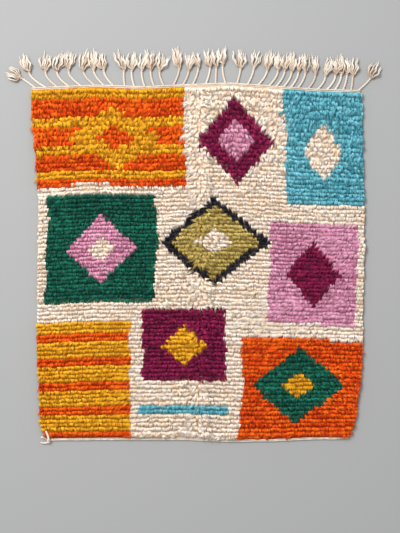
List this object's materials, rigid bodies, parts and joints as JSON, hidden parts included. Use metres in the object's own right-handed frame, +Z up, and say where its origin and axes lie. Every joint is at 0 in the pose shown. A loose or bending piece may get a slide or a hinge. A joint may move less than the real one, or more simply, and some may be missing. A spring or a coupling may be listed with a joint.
{
  "type": "pile rug with knotted fringe",
  "caption": "Flat hand-knotted wool rug with ribbed rows of pile, narrow flat-woven hems and knotted tassels along the top edge, for covering a floor.",
  "frame": {"origin": "on the floor under the middle of the whole outline, fringe included", "axes": "+X along the rows of pile, +Y up the warps towards the fringe, +Z up from the floor"},
  "size_m": [1.743, 1.8256, 0.0294],
  "materials": {
    "pile_wool": "hand-knotted wool pile in rows",
    "warp_wool": "undyed twisted wool"
  },
  "bodies": {
    "root": {"rug_body": "pile_wool", "fringe": "warp_wool", "corner_tie": "warp_wool"}
  },
  "joints": []
}
